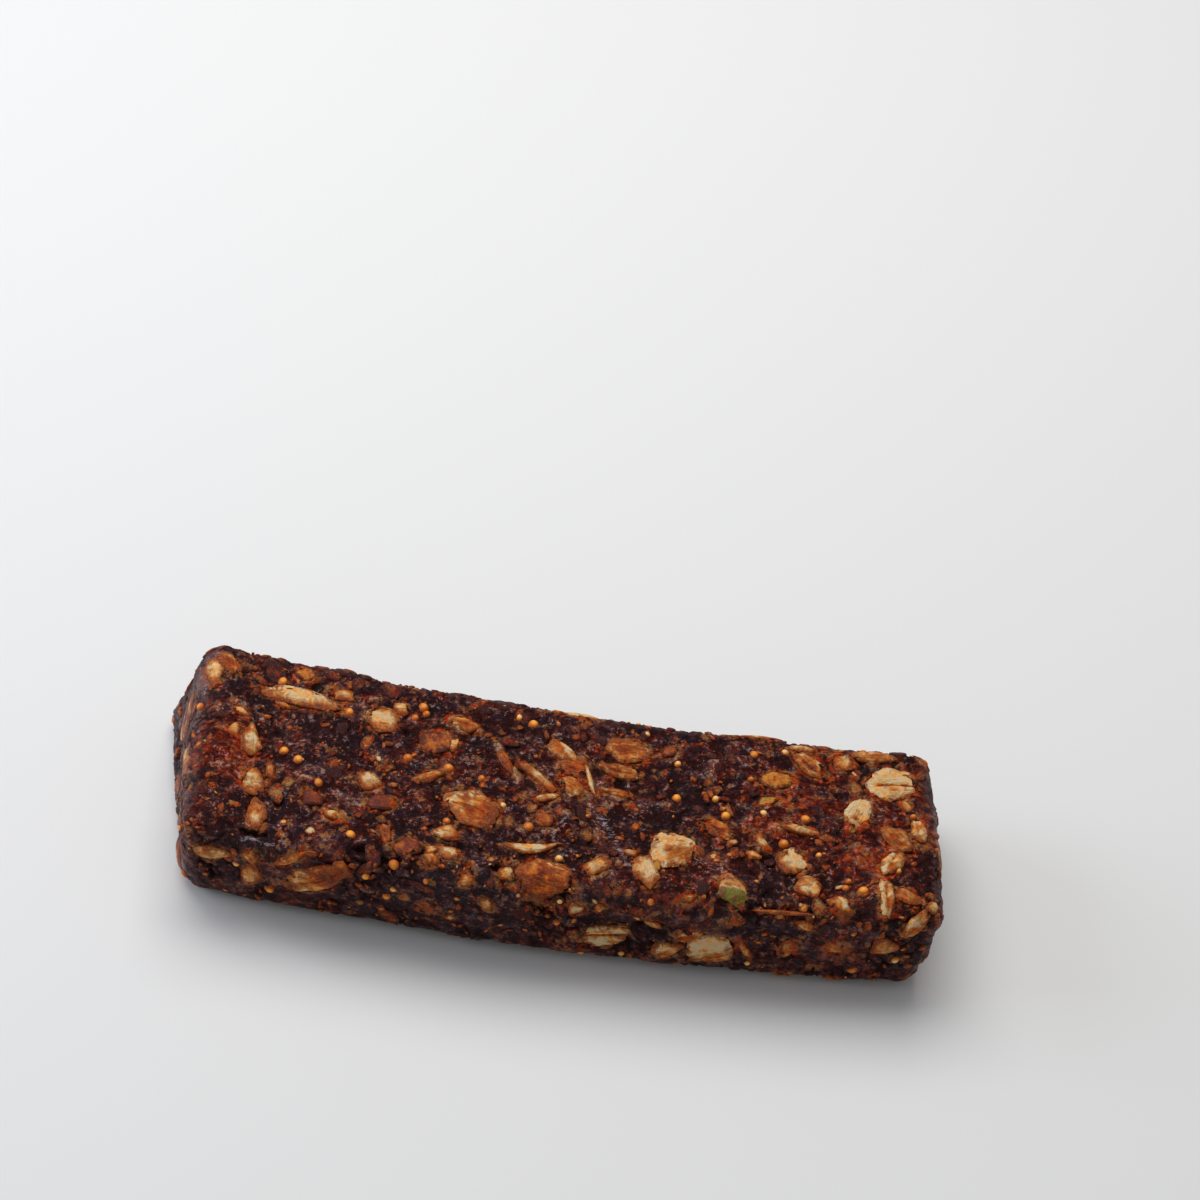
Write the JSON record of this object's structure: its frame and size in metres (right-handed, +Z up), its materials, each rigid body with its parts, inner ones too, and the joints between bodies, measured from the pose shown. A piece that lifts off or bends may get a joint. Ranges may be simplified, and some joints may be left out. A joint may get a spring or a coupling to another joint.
{
  "type": "granola bar",
  "caption": "Pressed snack bar of dark dried fruit paste with rolled oats, chopped nuts and fig seeds showing on its faces, gently bowed, lying flat.",
  "frame": {"origin": "middle of the bar's footprint, on the surface it lies on", "axes": "+X along the bar towards its right end as seen from the front, +Z up through its thickness, -Y towards its long front face"},
  "size_m": [0.1061, 0.0374, 0.0161],
  "materials": {
    "fruit_paste": "sticky dark purple-brown pressed fruit paste, satin, with a fine fibrous grain",
    "oat_flake": "matt toasted rolled oat, cream to orange-brown",
    "chopped_nut": "satin chopped nut, cream with tan edges",
    "fig_seed": "smooth amber fig seed",
    "dried_fruit": "translucent amber to reddish dried fruit",
    "pumpkin_seed": "satin broken pumpkin seed, green with a tan edge"
  },
  "bodies": {
    "root": {"granola_bar": "fruit_paste"}
  },
  "joints": []
}
